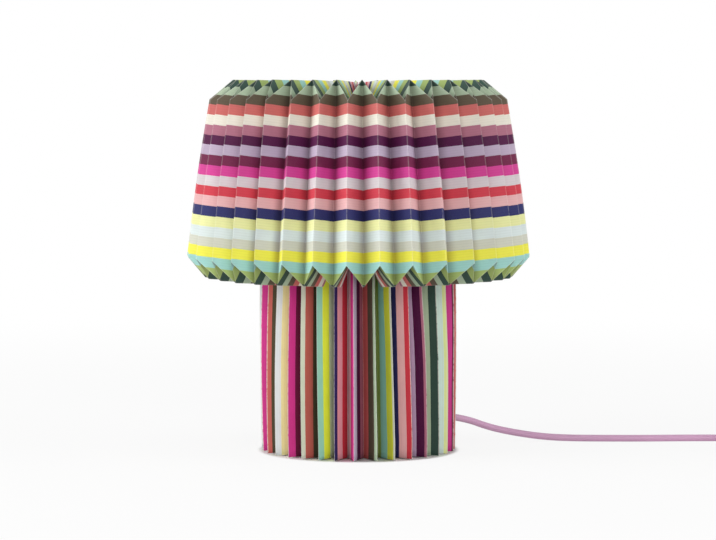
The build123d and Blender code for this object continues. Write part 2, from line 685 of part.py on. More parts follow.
def plug_parts(cord_x):
    """Flat two-pin plug with its boot."""
    tail, front, face = PLUG_Y
    z = PLUG_T / 2
    boot_low = Plane(origin=(cord_x, tail, z), z_dir=(0, 1, 0))
    boot = loft([boot_low * Circle(PLUG_BOOT_R[0]), boot_low.offset(front - tail) * Circle(PLUG_BOOT_R[1])])
    for k in range(PLUG_GROOVES):
        groove = extrude(Circle(2 * PLUG_BOOT_R[1]) - Circle(PLUG_BOOT_R[0] - 0.3 + 0.2 * k), 1.5)
        boot -= boot_low.offset(3.0 + PLUG_GROOVE_PITCH * k) * groove
    save("plug_boot", boot.solid())
    neck = Plane(origin=(cord_x, front, z), x_dir=(1, 0, 0), z_dir=(0, 1, 0))
    wide = RectangleRounded(PLUG_W, PLUG_T, PLUG_CORNER_R)
    sections = [
        neck * RectangleRounded(PLUG_NECK_W, PLUG_T - 1.6, PLUG_CORNER_R - 1),
        neck.offset(PLUG_SHOULDER) * wide,
        neck.offset(face - front) * wide,
    ]
    save("plug_body", loft(sections, ruled=True).solid())
    pins, sleeves = [], []
    for side in (-1, 1):
        x = cord_x + side * PIN_APART / 2
        root, sleeve_end, tip = [(x, face + reach, z) for reach in (0, PIN_SLEEVE_L, PIN_L)]
        metal = rod(sleeve_end, tip, PIN_R)
        pins.append(chamfer(metal.edges().sort_by(Axis.Y)[-1], PIN_BEVEL).solid())
        sleeves.append(rod(root, sleeve_end, PIN_R - FIT).solid())
    save("plug_pins", Compound(children=pins))
    save("pin_sleeves", Compound(children=sleeves))


def cord_parts(exit_point, ahead):
    """The free cord: gland to switch, switch to coil, the coil, and coil to plug."""
    first = Vector(*exit_point) + ahead * LEAD_FIRST_RUN
    entry = (SWITCH_X, SWITCH_Y[1], SWITCH_CORD_Z)
    lead_points = [tuple(exit_point), tuple(first), *LEAD_POINTS, entry]
    lead, lead_length = cord_along("cord_lead", lead_points)
    save("cord_lead", lead)
    coil_start, coil_end, coil_length = coil_parts()
    leave = (SWITCH_X, SWITCH_Y[0], SWITCH_CORD_Z)
    low, high = (SWITCH_X, -92.5, coil_start.Z), (SWITCH_X, -73.0, SWITCH_CORD_Z)
    link_points = [leave, high, low, tuple(coil_start)]
    link, link_length = cord_along("cord_link", link_points)
    save("cord_link", link)
    x, y, z = coil_end
    plug_z = PLUG_T / 2
    tail_points = [(x, y, z), (x, y + 14, z), (x, y + 30, plug_z), (x, PLUG_Y[0], plug_z)]
    tail, tail_length = cord_along("cord_tail", tail_points)
    save("cord_tail", tail)
    plug_parts(x)
    whole = lead_length + (SWITCH_Y[1] - SWITCH_Y[0]) + link_length + coil_length + tail_length
    print(f"cord from gland to plug: {whole:.0f}")


def main():
    os.makedirs("parts", exist_ok=True)
    shade_parts()
    save("gather_ring", gather_ring())
    save("pleated_column", pleated_column())
    save("core_tube", core_tube())
    base_parts()
    tube_parts()
    holder_parts()
    clamp_rings()
    carrier_parts()
    bulb_parts()
    switch_parts()
    exit_point, ahead = gland_parts()
    cord_parts(exit_point, ahead)


main()
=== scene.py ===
"""Pleated paper table lamp, finished piece by piece on the packed frame.

Metres, +Z up, origin on the floor at the lamp's axis, the photographed front faces -Y.
"""

import math
from functools import cached_property, partial
from itertools import pairwise

import bmesh
import bpy
import numpy as np
from bpy.props import FloatProperty, FloatVectorProperty, IntProperty, PointerProperty
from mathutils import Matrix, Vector


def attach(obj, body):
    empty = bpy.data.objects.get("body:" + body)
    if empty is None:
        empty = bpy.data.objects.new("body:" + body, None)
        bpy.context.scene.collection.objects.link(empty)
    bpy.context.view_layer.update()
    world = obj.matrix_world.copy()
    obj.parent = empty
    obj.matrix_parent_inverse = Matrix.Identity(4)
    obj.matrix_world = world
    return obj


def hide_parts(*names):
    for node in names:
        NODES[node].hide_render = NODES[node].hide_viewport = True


bl_info = {
    "name": "Pleated paper table lamp",
    "version": (1, 0, 0),
    "blender": (4, 5, 0),
    "location": "3D View > Sidebar > Lamp",
    "description": "Folded striped shade and column, lampholder, bulb, cord, inline switch and plug",
    "category": "Object",
}

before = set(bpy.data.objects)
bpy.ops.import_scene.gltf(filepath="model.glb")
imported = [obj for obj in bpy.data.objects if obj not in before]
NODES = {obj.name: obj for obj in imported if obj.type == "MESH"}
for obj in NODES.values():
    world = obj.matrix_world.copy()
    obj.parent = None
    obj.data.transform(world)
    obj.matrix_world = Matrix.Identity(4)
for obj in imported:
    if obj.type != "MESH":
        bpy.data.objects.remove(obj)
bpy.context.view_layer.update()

# ---------------- driving values

# The striped sheet's colours, in their order up the shade
STRIPES = {
    "dark_teal": (56, 82, 73),
    "olive_green": (163, 181, 112),
    "aqua": (159, 204, 200),
    "yellow": (233, 228, 85),
    "grey_beige": (204, 205, 194),
    "pale_blue": (213, 223, 224),
    "pale_yellow": (228, 230, 169),
    "navy": (46, 49, 105),
    "pink": (223, 179, 180),
    "red": (203, 67, 82),
    "light_grey": (210, 205, 207),
    "magenta": (207, 71, 151),
    "burgundy": (115, 34, 75),
    "lavender": (188, 174, 194),
    "dark_purple": (83, 10, 69),
    "mauve": (177, 118, 137),
    "cream": (229, 227, 214),
    "coral": (202, 112, 108),
    "olive_brown": (97, 87, 71),
    "sage": (173, 191, 166),
}
PALEST = 0.92  # the most light that the printed paper gives back
PAPER_RELIEF = 0.00006  # depth of its ribs and fibres
RIBS = 4  # in each stripe

# Shade: corners of the two kinds of fold (radius, height), from the top hole round to the lower lip
SHADE_PANELS = ("shade_panel_1", "shade_panel_2", "shade_panel_3", "shade_panel_4")
RIDGE_LINE = [(0.0203, 0.3259), (0.1417, 0.3324), (0.1629, 0.1847), (0.0950, 0.1837)]
VALLEY_LINE = [(0.0200, 0.3487), (0.1192, 0.3510), (0.1455, 0.1643), (0.0950, 0.1608)]
RIDGE_MARKS = (0.1460, -0.0031)  # the side's corners on the flat sheet, up from the edge of the yellow
VALLEY_MARKS = (0.1681, -0.0209)
AQUA_YELLOW_EDGE = 3  # that edge, counted in stripes
SHADE_FACET = 0.0238  # width of the sheet between two folds
MARK_DRIFT = (0.0018, 0.0004)  # how much further up the sheet the side's corners are at the lamp's sides
SHADE_ROWS = (16, 24, 10)  # rows of points on the top, the side and the lip
NEAR_CREASE = (0.0, 0.003, 0.012)  # where rows stand close beside a crease, as shares of a stretch
SHADE_SEED = 7

# How far each fold is from its even place, in degrees, at the top and at the bottom of the side,
# from the fifteenth fold left of the first inner fold to the fifteenth at its right
TOP_STRAY = [
    *(-1.4, -1.1, -0.8, -0.4, 0.0, 0.0, 0.0, -0.6, -0.8, -0.65, -0.45, -0.75, 0.25, -0.4, 0.05, 0.3),
    *(0.2, 0.85, 0.1, 0.7, 0.75, 0.9, 1.1, 0.9, 1.1, 1.1, 1.0, 0.8, 0.5, 0.4, 0.3),
]
LOW_STRAY = [
    *(-1.5, -1.0, -0.4, 0.6, 1.4, 1.1, 0.9, 0.6, 0.35, 0.2, 0.1, 0.0, -0.1, 0.1, 0.2, 0.6),
    *(0.2, 1.1, 0.25, 1.6, 1.4, 1.3, 1.85, 2.3, 2.2, 2.7, 3.1, 2.5, 1.8, 1.4, 0.9),
]

# Column: stripe numbers at the ridges, from the wide pleat round by the right, and round by the left
COLUMN_PLEATS = 32
COLUMN_ROWS = 30
COLUMN_SEED = 11
COLUMN_BOTTOM = 0.0008
COLUMN_TOP = 0.204
RIGHT_RIDGE_STRIPES = (40.2, 44.4, 49.8, 55.35, 60.9, 66.43, 72.25, 77.8)
LEFT_RIDGE_STRIPES = (165.6, 171.1, 177.55, 185.38, 191.13, 196.45, 202.05, 207.3, 212.1)
SEAM_STRIPES = [(213.1, 215.9), (217.2, 219.6)]  # on the wide pleat's two facets

# How far each ridge is from its even place, in degrees, at three heights: from the ridge at the wide
# pleat's right, and from the one at its left
STRAY_HEIGHTS = (0.016, 0.092, 0.152)
RIGHT_STRAY = [
    *((-0.6, -1.7, -2.2), (-1.1, -2.8, -3.9), (-1.0, -2.9, -4.1), (-0.9, -2.7, -5.5), (-1.3, -2.8, -5.2)),
    *((-1.4, -2.9, -5.3), (-1.2, -2.4, -4.4), (-1.0, -2.0, -3.6), (-0.7, -1.5, -2.7), (-0.5, -1.0, -1.8)),
    (-0.2, -0.5, -0.9),
]
LEFT_STRAY = [
    *((0.5, 0.45, 0.15), (0.25, 0.35, 0.25), (1.75, 1.3, 0.8), (1.5, 1.6, 2.0), (2.4, 3.4, 4.2)),
    *((1.5, 3.1, 4.4), (2.0, 4.0, 5.0), (1.5, 3.4, 4.5), (1.0, 2.6, 3.4), (0.7, 1.8, 2.4), (0.3, 0.9, 1.2)),
]

# Folds: how much the standing ones are rubbed pale, partly as wear and partly as a painted highlight; how far
# painted shade reaches from the inner folds, and how dark it is
LAMPSHADE_WEAR_AND_PAINTED_LIGHT = {"wear_and_highlight": 0.14, "painted_shade_reach": 0.010, "dark": 0.75}
COLUMN_WEAR_AND_PAINTED_LIGHT = {"wear_and_highlight": 0.85, "painted_shade_reach": 0.012, "dark": 0.7}

# Cord: its exit, its route to the switch, and on to the coil and the plug
GLAND_TIP = (0.08709, 0.04495, 0.026)
GLAND_AHEAD = (0.8751, 0.4517, -0.1736)
GLAND_REACH = 0.040  # how far back along its axis the paper is cut away
GLAND_CLEAR = 0.010  # and how far ahead of its tip
GLAND_CUT_R = 0.0068
FIRST_RUN = 0.020
LEAD_POINTS = [
    (0.1260, 0.0585, 0.0140),
    (0.1520, 0.0605, 0.0082),
    (0.1800, 0.0605, 0.0043),
    (0.2060, 0.0593, 0.0032),
    (0.2400, 0.0575, 0.0032),
    (0.2780, 0.0573, 0.0032),
    (0.3150, 0.0600, 0.0032),
    (0.3470, 0.0604, 0.0032),
    (0.3690, 0.0495, 0.0044),
    (0.3810, 0.0285, 0.0080),
    (0.3810, 0.0060, 0.0080),
]
LINK_POINTS = [
    (0.3810, -0.0560, 0.0080),
    (0.3810, -0.0730, 0.0080),
    (0.3810, -0.0925, 0.0045),
    (0.3810, -0.1100, 0.0045),
]
COIL_START = (0.3810, -0.1164)
COIL_LOW_Z = 0.0045
COIL_PITCH = 0.0069
COIL_OUTER_R = 0.0454
COIL_HALF_TURNS = 5
COIL_STEPS = 8  # control points in a half turn
TAIL_STEPS = [(0.0064, 0.0), (0.0204, 0.0), (0.0364, -0.0046), (0.0504, -0.0046)]  # (along +Y, up)

# The photograph's view
PHOTO_WIDTH = 716
PHOTO_HEIGHT = 540
SENSOR = 36.0
EYE_DISTANCE = 2.65
EYE_HEIGHT = 0.346
FOCAL_PIXELS = 2789.5
AXIS_PIXEL = 358.5
HORIZON_PIXEL = 85.0

# Studio: place and width of each lamp, the point that they face, and the floor
STUDIO_LAMPS = {
    "left": ((-2.22, -0.60, 0.95), 1.8),
    "right": ((2.27, -0.40, 0.95), 1.3),
    "front": ((0.30, -2.30, 0.55), 1.3),
    "top": ((0.0, -0.20, 2.00), 1.5),
}
STUDIO_AIM = (0.0, 0.0, 0.2)
FLOOR_REACH = 60.0
FOOTPRINT = (0.090, 0.097)  # where, out from under the column, the floor starts to show white
FLOOR_FADE = (0.3, 1.6)  # and where it is all white
WHITE = (1.0, 1.0, 1.0, 1.0)


# ---------------- settings


def linear(rgb):
    """A display colour, 0 to 255, as the light it stands for."""
    parts = [c / 255 for c in rgb]
    return tuple(c / 12.92 if c <= 0.04045 else ((c + 0.055) / 1.055) ** 2.4 for c in parts)


Length = partial(FloatProperty, unit="LENGTH", precision=5)
Angle = partial(FloatProperty, subtype="ANGLE")
Factor = partial(FloatProperty, subtype="FACTOR", min=0.0, soft_max=2.0)
Power = partial(FloatProperty, unit="POWER")
Colour = partial(FloatVectorProperty, subtype="COLOR", min=0.0, max=1.0)


class LampStripes(bpy.types.PropertyGroup):
    """Colours of the striped sheet, in their order up the shade."""

    __annotations__ = {
        name: Colour(
            name=name.replace("_", " ").capitalize(),
            description="Colour of one stripe",
            default=linear(rgb),
        )
        for name, rgb in STRIPES.items()
    }


class LampShade(bpy.types.PropertyGroup):
    """Sizes and print of the folded shade."""

    pleats: IntProperty(name="Pleats", description="Folds that stand out", default=34, min=3)
    first_valley: Angle(name="First inner fold", description="Right of the front", default=math.radians(1.3))
    thickness: Length(name="Sheet", description="Thickness of the paper", default=0.0004)
    stripe: Length(name="Stripe", description="Width of one stripe", default=0.00953)
    wander: Length(name="Wander", description="How far a fold strays from its line", default=0.0004)
    bow: Length(name="Bow", description="How far a facet bows between its folds", default=0.0010)
    belly: Length(name="Belly", description="How much wider the side is half way up", default=0.0014)
    depth: Factor(name="Depth", description="How deep the printed colours are", default=1.08)
    gain: Factor(name="Gain", description="How bright the printed colours are", default=1.07)


class LampColumn(bpy.types.PropertyGroup):
    """Sizes and print of the pleated column."""

    ridge: Length(name="Ridge radius", description="Distance of the outer folds", default=0.092)
    facet: Length(name="Facet", description="Width of the paper between two folds", default=0.0266)
    seam_left: Angle(name="Seam, left", description="Wide pleat's left ridge", default=math.radians(-3.1))
    seam_right: Angle(name="Seam, right", description="Wide pleat's right ridge", default=math.radians(11.4))
    bow: Length(name="Bow", description="How far a facet bows between its folds", default=0.0005)
    belly: Length(name="Belly", description="How much wider the sleeve is half way up", default=0.0016)
    # Depth and gain make the column's print a deeper, brighter copy of the shade's: the extra brightness is
    # painted light, making up for light that the deep pleats lose
    depth: Factor(name="Depth", description="How deep the printed colours are", default=1.2)
    gain: Factor(name="Gain", description="How bright the printed colours are", default=1.32)


class LampCord(bpy.types.PropertyGroup):
    """The mains cord."""

    diameter: Length(name="Diameter", description="Over the sheath", default=0.0064)
    length: Length(name="Length", description="From the gland to the plug", default=1.8)
    colour: Colour(name="Sheath", description="Colour of the sheath", default=linear((216, 168, 202)))


class LampStage(bpy.types.PropertyGroup):
    """Floor, lamps and backdrop."""

    floor: Colour(name="Floor", description="Colour of the floor", default=(0.9, 0.9, 0.9))
    white: Factor(name="White", description="How much of the floor shows as plain white", default=0.88)
    surround: Factor(name="Surround", description="Strength of the even light", default=0.26)
    left: Power(name="Left", description="Power of the lamp at the left", default=48.0)
    right: Power(name="Right", description="Power of the lamp at the right", default=22.5)
    front: Power(name="Front", description="Power of the lamp in front", default=17.5)
    top: Power(name="Top", description="Power of the lamp overhead", default=6.0)


SETTINGS = {
    "lamp_stripes": LampStripes,
    "lamp_shade": LampShade,
    "lamp_column": LampColumn,
    "lamp_cord": LampCord,
    "lamp_stage": LampStage,
}


# ---------------- writing finishes


def math_node(operation, swapped=False):
    """A method that adds a Math node, with its two numbers swapped for a reflected operator."""

    def method(self, other):
        return self.finish.math(operation, *((other, self) if swapped else (self, other)))

    return method


class Value:
    """A number that varies over a surface; arithmetic on it adds Math nodes."""

    def __init__(self, finish, socket):
        self.finish = finish
        self.socket = socket

    __add__ = __radd__ = math_node("ADD")
    __mul__ = __rmul__ = math_node("MULTIPLY")
    __sub__, __rsub__ = math_node("SUBTRACT"), math_node("SUBTRACT", swapped=True)
    __truediv__, __rtruediv__ = math_node("DIVIDE"), math_node("DIVIDE", swapped=True)
    __pow__, __rpow__ = math_node("POWER"), math_node("POWER", swapped=True)
    __gt__, __lt__ = math_node("GREATER_THAN"), math_node("LESS_THAN")

    def __abs__(self):
        return self.finish.math("ABSOLUTE", self)

    def part(self):
        """What is left over whole numbers."""
        return self.finish.math("FRACT", self)

    def whole(self):
        """The whole number below."""
        return self.finish.math("FLOOR", self)

    def there_and_back(self, reach=1.0):
        """Rises to reach, falls back to zero, and so on."""
        return self.finish.math("PINGPONG", self, reach)

    def from_to(self, low, high):
        """Rises smoothly from 0 at low to 1 at high."""
        made = self.finish.node(
            "MapRange",
            {"interpolation_type": "SMOOTHSTEP"},
            {"Value": self, "From Min": low, "From Max": high, "To Min": 0.0, "To Max": 1.0},
        )
        return Value(self.finish, made.outputs["Result"])


class Finish:
    """The nodes of a material, or of the surround, while they are being put together."""

    def __init__(self, name, kind="materials"):
        self.owner = getattr(bpy.data, kind).new(name)
        self.owner.use_nodes = True
        self.tree = self.owner.node_tree
        self.tree.nodes.clear()

    @cached_property
    def place(self):
        """The point on the piece, in metres."""
        return self.node("TexCoord").outputs["Object"]

    def node(self, kind, settings=None, sockets=None):
        """Adds a node: first its settings, then the values or links of its sockets."""
        made = self.tree.nodes.new("ShaderNode" + kind)
        settings = dict(settings or {})
        stops = settings.pop("stops", None)
        for key, value in settings.items():
            setattr(made, key, value)
        if stops:
            made.color_ramp.interpolation = "CONSTANT"
            marks = made.color_ramp.elements
            while len(marks) < len(stops):
                marks.new(1.0)
            for mark, (place, colour) in zip(marks, stops):
                mark.position = place
                mark.color = (*colour, 1.0)
        for key, value in (sockets or {}).items():
            value = value.socket if isinstance(value, Value) else value
            if isinstance(value, bpy.types.NodeSocket):
                self.tree.links.new(value, made.inputs[key])
            else:
                made.inputs[key].default_value = value
        return made

    def math(self, operation, *values):
        """A Math node on numbers and values."""
        made = self.node("Math", {"operation": operation}, dict(enumerate(values)))
        return Value(self, made.outputs[0])

    def mix(self, first, second, share, way="MIX"):
        """One colour turning into another."""
        first, second = [(*c, 1.0) if isinstance(c, tuple) else c for c in (first, second)]
        made = self.node("Mix", {"data_type": "RGBA", "blend_type": way}, {0: share, 6: first, 7: second})
        return made.outputs[2]

    def split(self, vector):
        """The three numbers of a vector."""
        return [Value(self, s) for s in self.node("SeparateXYZ", {}, {0: vector}).outputs]

    def flat(self, layer):
        """The two numbers that a layer of flat coordinates holds."""
        return self.split(self.node("UVMap", {"uv_map": layer}).outputs[0])[:2]

    def joined(self, x, y):
        """A vector from two numbers."""
        return self.node("CombineXYZ", {}, {"X": x, "Y": y}).outputs[0]

    def noise(self, scale, detail=2.0, rough=0.5, stretch=None, at=None):
        """Soft random patches, 0 to 1, over the piece or another vector."""
        at = at or self.place
        if stretch:
            at = self.node("VectorMath", {"operation": "MULTIPLY"}, {0: at, 1: stretch}).outputs[0]
        sockets = {"Vector": at, "Scale": scale, "Detail": detail, "Roughness": rough}
        return Value(self, self.node("TexNoise", {}, sockets).outputs[0])

    def specks(self, scale, size, edge):
        """1 inside many scattered specks, 0 outside."""
        cells = self.node("TexVoronoi", {}, {"Vector": self.place, "Scale": scale})
        return 1 - Value(self, cells.outputs["Distance"]).from_to(size, edge)

    def shaded(self, colour, roughness, relief, depth, **looks):
        """Ends the finish with its shader, over fine relief with its depth in metres."""
        normal = self.node("Bump", {}, {"Strength": 1.0, "Distance": depth, "Height": relief}).outputs[0]
        sockets = {key.replace("_", " ").title().replace("Ior", "IOR"): v for key, v in looks.items()}
        sockets |= {"Base Color": colour, "Roughness": roughness, "Normal": normal}
        shader = self.node("BsdfPrincipled", {}, sockets)
        self.node("OutputMaterial", {}, {"Surface": shader.outputs[0]})
        return self.owner


def toned(colour, gain, lift=0.0):
    """A colour made darker or paler."""
    return tuple(min(1.0, c * gain + lift) for c in colour)


# ---------------- finishes


def stripe_hue(finish, stripe, depth=1.0, gain=1.0):
    """The print's colour at a place counted in stripes, made deeper and brighter."""
    stripes = bpy.context.scene.lamp_stripes
    colours = [[min(c**depth * gain, PALEST) for c in getattr(stripes, name)] for name in STRIPES]
    stops = [(k / len(colours), colour) for k, colour in enumerate(colours)]
    return finish.node("ValToRGB", {"stops": stops}, {0: (stripe / len(colours)).part()}).outputs[0]


def striped_paper(name, facet, group, wear_and_highlight, painted_shade_reach, dark):
    """Printed side of the sheet: stripes with fine ribs, pale along the folds that stand out from wear and a
    painted highlight, and darkened with painted shade towards the inner folds.
    """
    finish = Finish(name)
    stripe, along = finish.flat("sheet")
    fold, from_crease = finish.flat("folds")
    edge_wander = finish.noise(1.0, 3.0, at=finish.joined(along * 90, stripe)) - 0.5
    base = stripe_hue(finish, stripe + edge_wander * 0.05, group.depth, group.gain)
    ribs = stripe * RIBS + 0.5
    rib = ribs.part().there_and_back(0.5) * 2
    rib_strength = finish.noise(1.0, at=finish.joined(along * 12, ribs.whole() * 7.3))
    rib_line = (1 - rib.from_to(0.06, 0.3)) * rib_strength
    base = finish.mix(base, (0.55, 0.52, 0.5), rib_line * 0.28, "MULTIPLY")
    mottle = finish.noise(55.0, 4.0, 0.6)
    fibre = finish.noise(1500.0, 3.0, 0.7, (1.0, 1.0, 1.6))
    base = finish.mix(base, (0.78, 0.76, 0.75), mottle.from_to(0.35, 0.75) * 0.22, "MULTIPLY")
    base = finish.mix(base, (1.0, 1.0, 0.98), fibre.from_to(0.55, 0.9) * 0.10)
    to_valley = fold.there_and_back()
    body = from_crease > 0.0
    to_standing = (to_valley + body * (1 - 2 * to_valley)) * facet
    rubbed = finish.noise(260.0, 3.0, 0.65)
    # Pale along the standing folds: partly worn paper, partly a painted highlight where light catches the
    # ridge
    fold_wear_and_highlight = (1 - to_standing.from_to(0.0003, 0.0012)) * rubbed.from_to(0.2, 0.55)
    crease_wear = (1 - abs(from_crease).from_to(0.00015, 0.0008)) * rubbed.from_to(0.15, 0.5)
    base = finish.mix(base, (0.86, 0.84, 0.78), fold_wear_and_highlight * wear_and_highlight)
    base = finish.mix(base, (0.88, 0.86, 0.76), crease_wear * 0.25)
    # Painted shade: the colour darkens towards each inner fold, standing for the shade that falls in the fold
    painted_fold_shade = 1 - (facet - to_standing).from_to(0.0, painted_shade_reach)
    base = finish.mix(base, (0.55, 0.5, 0.5), painted_fold_shade * dark, "MULTIPLY")
    relief = rib * 0.35 + fibre * 0.5 + mottle * 0.6
    rough = 0.56 + fibre * 0.12 + fold_wear_and_highlight * 0.15
    return finish.shaded(base, rough, relief, PAPER_RELIEF, specular_ior_level=0.3)


def paper_back():
    """Unprinted side and cut edges of the sheet, with the stripes just showing through."""
    finish = Finish("paper_back")
    mottle = finish.noise(70.0, 4.0, 0.6)
    fibre = finish.noise(1300.0, 3.0, 0.7)
    base = finish.mix((0.86, 0.84, 0.78), stripe_hue(finish, finish.flat("sheet")[0]), 0.16 + mottle * 0.06)
    base = finish.mix(base, (0.80, 0.76, 0.68), fibre.from_to(0.55, 0.85) * 0.3)
    return finish.shaded(base, 0.75 + fibre * 0.12, fibre * 0.6 + mottle * 0.5, PAPER_RELIEF)


def wound_board():
    """Brown board tube, wound on a slant from a strip."""
    finish = Finish("wound_board")
    x, y, z = finish.split(finish.place)
    turn = finish.math("ARCTAN2", y, x) / math.tau
    strip = (z / 0.075 + turn).part()
    seam = 1 - strip.there_and_back(0.5).from_to(0.004, 0.012)
    fibre = finish.noise(420.0, 4.0, 0.65, (1.0, 1.0, 3.0))
    cloud = finish.noise(28.0, 3.0)
    base = finish.mix((0.40, 0.27, 0.155), (0.52, 0.37, 0.225), fibre * 0.7 + cloud * 0.3)
    base = finish.mix(base, (0.20, 0.13, 0.07), seam * 0.6)
    return finish.shaded(base, 0.85 - fibre * 0.1, fibre * 0.5 - seam, 0.0002)


def pressed_board():
    """Pressed fibre board, its faces smoother than its sawn edge."""
    finish = Finish("pressed_board")
    fleck = finish.noise(700.0, 5.0, 0.75, (1.0, 1.0, 4.0))
    cloud = finish.noise(40.0, 3.0)
    layer = finish.noise(1.0, 3.0, stretch=(6.0, 6.0, 420.0))
    base = finish.mix((0.37, 0.25, 0.15), (0.55, 0.41, 0.27), fleck * 0.6 + cloud * 0.4)
    base = finish.mix(base, (0.26, 0.17, 0.10), layer.from_to(0.55, 0.8) * 0.35)
    return finish.shaded(base, 0.8 - fleck * 0.12, fleck + layer * 0.5, 0.00015)


def wool_felt():
    """Dark felt with loose hairs."""
    finish = Finish("wool_felt")
    hair = finish.noise(1100.0, 5.0, 0.8)
    tuft = finish.noise(210.0, 4.0, 0.6)
    base = finish.mix((0.018, 0.018, 0.020), (0.085, 0.085, 0.092), hair.from_to(0.35, 0.75))
    base = finish.mix(base, (0.03, 0.03, 0.034), tuft * 0.5)
    return finish.shaded(base, 0.92, hair + tuft, 0.0005, sheen_weight=0.4, sheen_roughness=0.5)


def metal(name, light, dark, rough, grain, polish=0.0):
    """A metal with drawing or plating marks, duller in its smears."""
    finish = Finish(name)
    marks = finish.noise(1.0, 4.0, 0.6, grain)
    smear = finish.noise(60.0, 4.0, 0.6)
    base = finish.mix(dark, light, marks * 0.5 + smear * 0.6)
    rough = rough + marks * 0.12 + smear.from_to(0.4, 0.8) * 0.15
    return finish.shaded(base, rough, marks, 0.00003, metallic=1.0, coat_weight=polish, coat_roughness=0.1)


def moulded(name, colour, rough=0.42, texture=2600.0, depth=0.00003):
    """Moulded plastic with a fine etched surface and faint rub marks."""
    finish = Finish(name)
    etched = finish.noise(texture, 3.0, 0.6)
    cloud = finish.noise(90.0, 3.0)
    rub = finish.noise(420.0, 5.0, 0.7, (1.0, 3.0, 1.0)).from_to(0.62, 0.8)
    base = finish.mix(colour, toned(colour, 0.86), cloud.from_to(0.3, 0.75) * 0.5)
    base = finish.mix(base, toned(colour, 1.15, 0.02), rub * 0.25)
    return finish.shaded(base, rough + etched * 0.1 - rub * 0.1, etched, depth)


def enamelled_wire():
    """White powder-coated wire and plate, with the coat's slight orange peel."""
    finish = Finish("enamelled_wire")
    peel = finish.noise(900.0, 3.0)
    base = finish.mix((0.80, 0.80, 0.77), (0.86, 0.86, 0.84), peel)
    base = finish.mix(base, (0.55, 0.54, 0.52), finish.specks(420.0, 0.03, 0.08) * 0.3)
    return finish.shaded(base, 0.32 + peel * 0.1, peel, 0.00004)


def glazed_ceramic():
    """White steatite, smooth, with a few dark specks."""
    finish = Finish("glazed_ceramic")
    cloud = finish.noise(120.0, 3.0)
    base = finish.mix((0.80, 0.78, 0.71), (0.87, 0.86, 0.81), cloud)
    base = finish.mix(base, (0.42, 0.38, 0.32), finish.specks(700.0, 0.04, 0.1) * 0.5)
    return finish.shaded(base, 0.3 + cloud * 0.1, cloud, 0.00004)


def opal_glass():
    """Frosted opal globe, a little uneven in its coat."""
    finish = Finish("opal_glass")
    grain = finish.noise(2200.0)
    base = finish.mix((0.84, 0.83, 0.79), (0.90, 0.89, 0.86), finish.noise(45.0, 4.0, 0.55))
    milk = {"subsurface_weight": 0.25, "subsurface_radius": (0.004, 0.004, 0.0035), "subsurface_scale": 1.0}
    return finish.shaded(base, 0.28 + grain * 0.12, grain, 0.00002, **milk)


def cord_sheath(colour):
    """Smooth soft sheath of the cord, with the faint marks of its drawing and of handling."""
    finish = Finish("cord_sheath")
    cloud = finish.noise(38.0, 3.0)
    dust = finish.noise(1900.0, 4.0, 0.7)
    drag = finish.noise(1.0, 3.0, stretch=(40.0, 40.0, 900.0))
    base = finish.mix(colour, toned(colour, 0.88), cloud.from_to(0.3, 0.75) * 0.5)
    base = finish.mix(base, toned(colour, 1.1, 0.03), dust.from_to(0.6, 0.85) * 0.25)
    return finish.shaded(base, 0.42 + dust * 0.12, dust * 0.5 + drag * 0.5, 0.00003, specular_ior_level=0.45)


# ---------------- building meshes


def new_piece(name, mesh, body):
    """Puts a mesh or curve into the scene as a piece that rides on a body."""
    piece = bpy.data.objects.new(name, mesh)
    bpy.context.scene.collection.objects.link(piece)
    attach(piece, body)
    return piece


def round_sheet(name, outer, inner, sheet, folds):
    """A thin sheet closed round the axis, from the grids of points on its two sides.

    Rows run downwards on the outside and columns towards the right.  The flat coordinates have one
    column more than the points, so that they run on where the sheet closes.
    """
    rows, columns = outer.shape[:2]
    row, column = [a.ravel() for a in np.mgrid[0 : rows - 1, 0:columns]]
    corners = [(row + r, column + c) for r, c in ((0, 0), (1, 0), (1, 1), (0, 1))]
    outside = np.stack([r * columns + c % columns for r, c in corners], axis=1)
    back = rows * columns  # from a point to the one behind it
    here = np.arange(columns)
    there = (here + 1) % columns
    low = (rows - 1) * columns
    top_rim = np.stack([here, there, there + back, here + back], axis=1)
    low_rim = np.stack([here, here + back, there + back, there], axis=1) + low
    quads = np.concatenate([outside, outside[:, ::-1] + back, top_rim, low_rim])
    mesh = bpy.data.meshes.new(name)
    points = np.concatenate([outer.reshape(-1, 3), inner.reshape(-1, 3)])
    mesh.from_pydata(points.tolist(), [], quads.tolist())
    ends = [(here * 0 + r, here + c) for r in (0, rows - 1) for c in (0, 1)]
    for layer, marks in (("sheet", sheet), ("folds", folds)):
        front = np.stack([marks[corner] for corner in corners], axis=1)
        top, top_next, lip, lip_next = [marks[end] for end in ends]
        rims = [(top, top_next, top_next, top), (lip, lip, lip_next, lip_next)]
        flat = np.concatenate([front, front[:, ::-1], *[np.stack(rim, axis=1) for rim in rims]])
        mesh.uv_layers.new(name=layer).data.foreach_set("uv", flat.ravel().astype(np.float32))
    face = np.arange(len(quads))
    faces = len(outside)
    mesh.polygons.foreach_set("material_index", (face >= faces).astype(np.int32))
    mesh.polygons.foreach_set("use_smooth", face < 2 * faces)
    mesh.update()
    return mesh


def inner_line(line, normals, half_angle, thickness):
    """A fold's line on the back of the sheet, one thickness behind the facets on both sides of it."""
    moved = []
    for j, (r, z) in enumerate(line):
        rows = []
        for n in normals[max(j - 1, 0) : j + 1]:
            rows.append((n[0] * math.cos(half_angle) + n[1] * math.sin(half_angle), n[2], -thickness))
        if len(rows) == 1:
            other = line[1 if j == 0 else -2]
            rows.append((other[0] - r, other[1] - z, 0.0))
        (a, b, p), (c, d, q) = rows
        det = a * d - b * c
        moved.append((r + (p * d - b * q) / det, z + (a * q - p * c) / det))
    return moved


